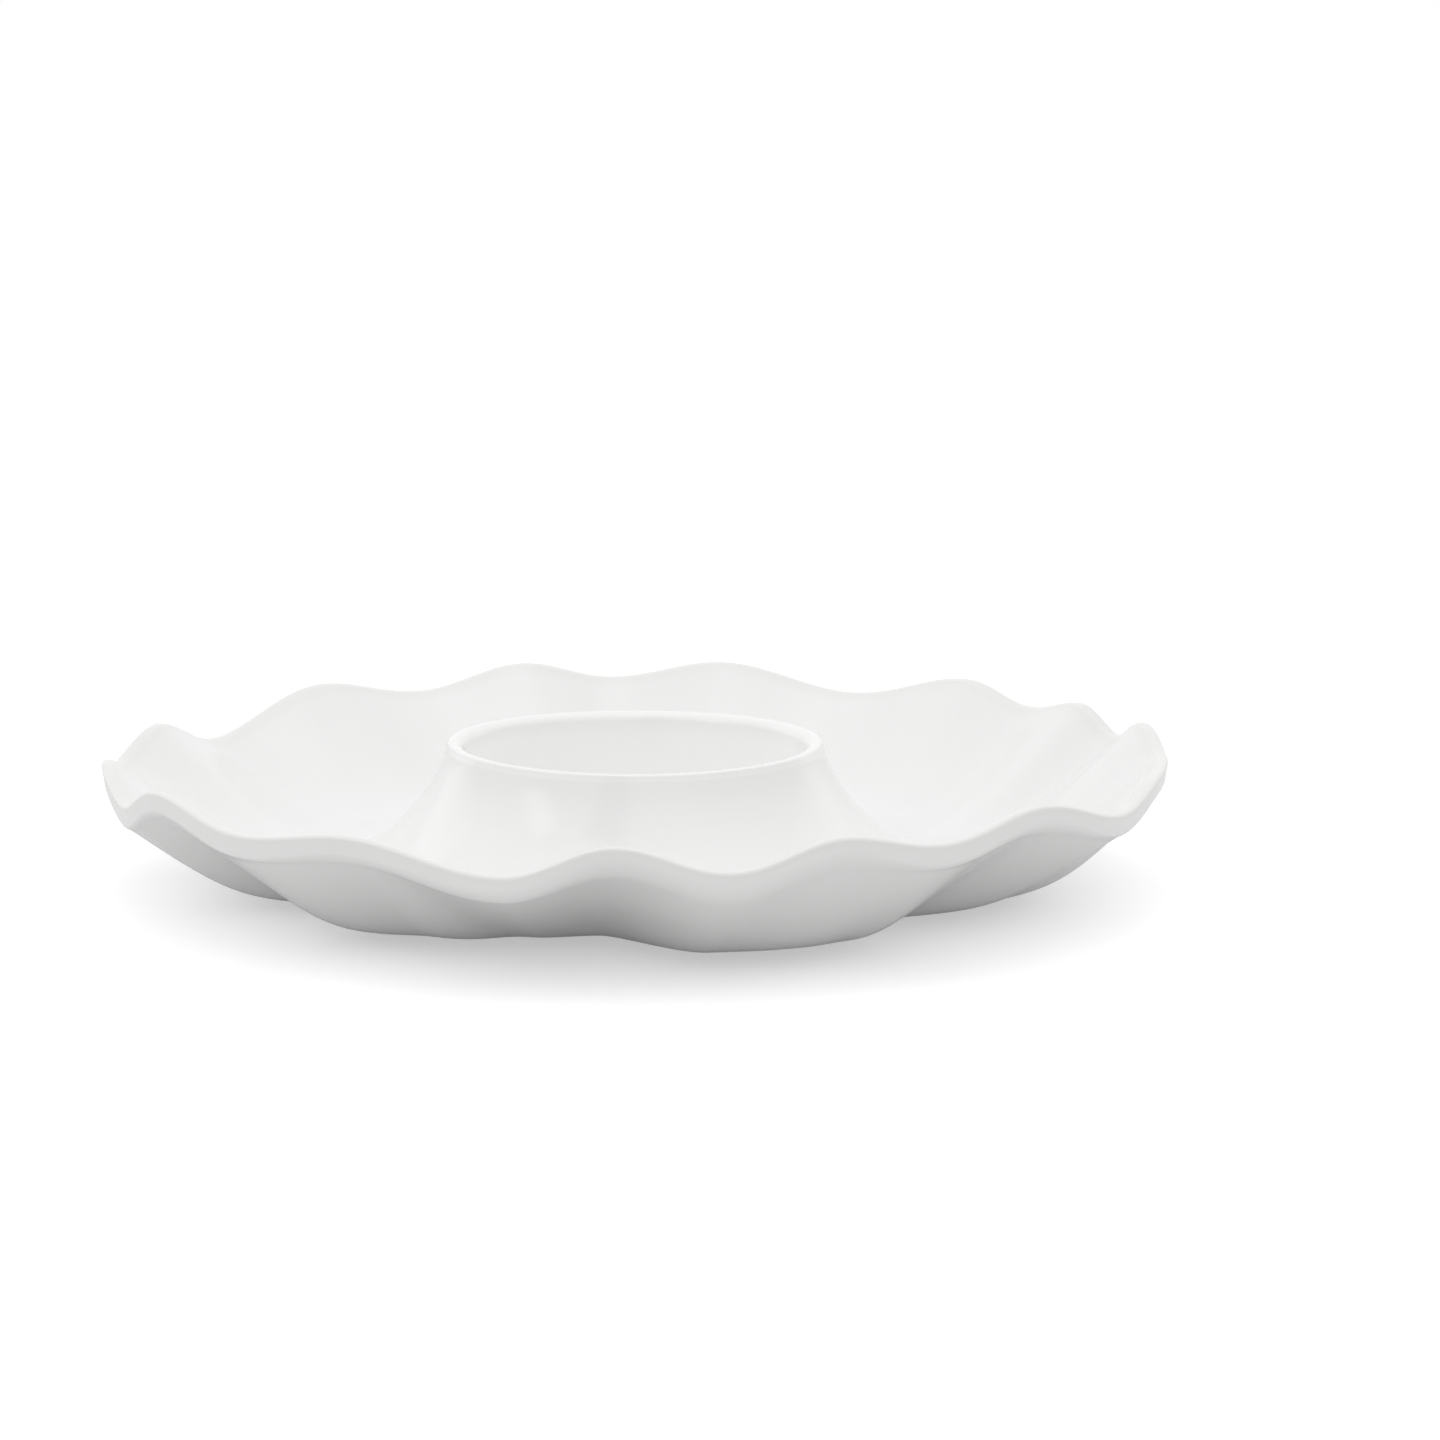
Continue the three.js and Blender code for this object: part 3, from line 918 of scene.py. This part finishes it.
# %% [markdown]
# ## The light
#
# Pale glaze needs a level of light at which white stays just below paper white, so that its
# shading survives. Most of the light comes from the sky, and the lamps only shape it. Two soft
# panels stand behind the platter, left and right, and draw a light strip down each side of the
# throat. A narrow strip hangs at the front left, and a lamp overhead reaches into the well.

# %% Hang the softboxes
LAMPS_LOOK_AT = Vector((0, 0, 30 * MM))


def softbox(name, place, width, height, power):
    """A lit rectangle at a place in metres, turned to face the platter."""
    light = bpy.data.lights.new(name, "AREA")
    light.shape = "RECTANGLE"
    light.size = width
    light.size_y = height
    light.energy = power
    lamp = bpy.data.objects.new(name, light)
    bpy.context.scene.collection.objects.link(lamp)
    facing = (LAMPS_LOOK_AT - Vector(place)).to_track_quat("-Z", "Y")
    lamp.matrix_world = Matrix.Translation(place) @ facing.to_matrix().to_4x4()
    print(f"{name}: {width} x {height} m, {power} W")


softbox("left_panel", place=(-2.0, 1.5, 1.0), width=1.3, height=1.6, power=2.5)
softbox("right_panel", place=(2.0, 1.5, 1.0), width=1.3, height=1.6, power=1.8)
softbox("overhead", place=(0, 0, 2.0), width=1.0, height=1.0, power=1.1)
softbox("left_strip", place=(-1.7, -0.8, 1.6), width=0.5, height=1.2, power=2.2)

# %% [markdown]
# ### The air round the platter
#
# What gloss shows counts as much as what light falls. The air is painted by direction: x to the
# right, y away from the camera and z up, each from -1 to 1. The sky is brighter overhead than at
# the horizon. At a grazing angle the glaze is almost a mirror, so a white backdrop stands behind
# the platter and keeps its edges white. A dark stand near the camera is there for the gloss
# alone: it leaves a soft grey streak on the throat. The camera itself sees plain white air.

# %% Helpers for painting the air
world = bpy.data.worlds.new("studio_air")
world.use_nodes = True
air, link = world.node_tree.nodes, world.node_tree.links.new
aim = air.new("ShaderNodeTexCoord")
toward = air.new("ShaderNodeSeparateXYZ")
link(aim.outputs["Generated"], toward.inputs["Vector"])


def air_range(axis, low, high, at_low, at_high, soft=False):
    """A value that goes from one level to another along one axis of the direction."""
    node = air.new("ShaderNodeMapRange")
    node.interpolation_type = "SMOOTHSTEP" if soft else "LINEAR"
    levels = {"From Min": low, "From Max": high, "To Min": at_low, "To Max": at_high}
    for name, value in levels.items():
        node.inputs[name].default_value = value
    link(toward.outputs[axis], node.inputs["Value"])
    return node.outputs["Result"]


def air_mix(factor, first, second):
    """The first level where the factor is 0, the second where it is 1."""
    node = air.new("ShaderNodeMix")
    link(factor, node.inputs["Factor"])
    for socket, value in ((node.inputs["A"], first), (node.inputs["B"], second)):
        if isinstance(value, (int, float)):
            socket.default_value = value
        else:
            link(value, socket)
    return node.outputs["Result"]


def air_times(first, second):
    """The product of two masks."""
    node = air.new("ShaderNodeMath")
    node.operation = "MULTIPLY"
    link(first, node.inputs[0])
    link(second, node.inputs[1])
    return node.outputs["Value"]


print("the air is ready to be painted")

# %% Paint the sky, the backdrop and the stand
SKY_AT_HORIZON, SKY_OVERHEAD = 0.5, 1.22
BACKDROP_WHITE = 0.95
STAND_GREY = 0.15

# where each soft edge starts and ends, on the axis that it crosses
BACKDROP_EDGE = (0.48, 0.58)
STAND_LEFT_EDGE, STAND_RIGHT_EDGE = (-0.36, -0.27), (-0.1, -0.01)
STAND_FAR_EDGE = (-0.4, -0.3)

sky = air_range("Z", 0, 1, SKY_AT_HORIZON, SKY_OVERHEAD)
backdrop = air_range("Y", *BACKDROP_EDGE, 0, 1, soft=True)
studio = air_mix(backdrop, sky, BACKDROP_WHITE)

seen = air.new("ShaderNodeLightPath")
stand_left = air_range("X", *STAND_LEFT_EDGE, 0, 1, soft=True)
stand_right = air_range("X", *STAND_RIGHT_EDGE, 1, 0, soft=True)
stand_near = air_range("Y", *STAND_FAR_EDGE, 1, 0, soft=True)
stand_width = air_times(stand_left, stand_right)
stand_for_gloss = air_times(stand_near, seen.outputs["Is Glossy Ray"])
studio = air_mix(air_times(stand_width, stand_for_gloss), studio, STAND_GREY)

shown = air_mix(seen.outputs["Is Camera Ray"], studio, 1)
link(shown, air["Background"].inputs["Strength"])
air["Background"].inputs["Color"].default_value = (1, 1, 1, 1)
bpy.context.scene.world = world
bpy.context.scene.view_settings.view_transform = "Standard"
print("four softboxes, a white backdrop, a dark stand and a sky that is brighter overhead")
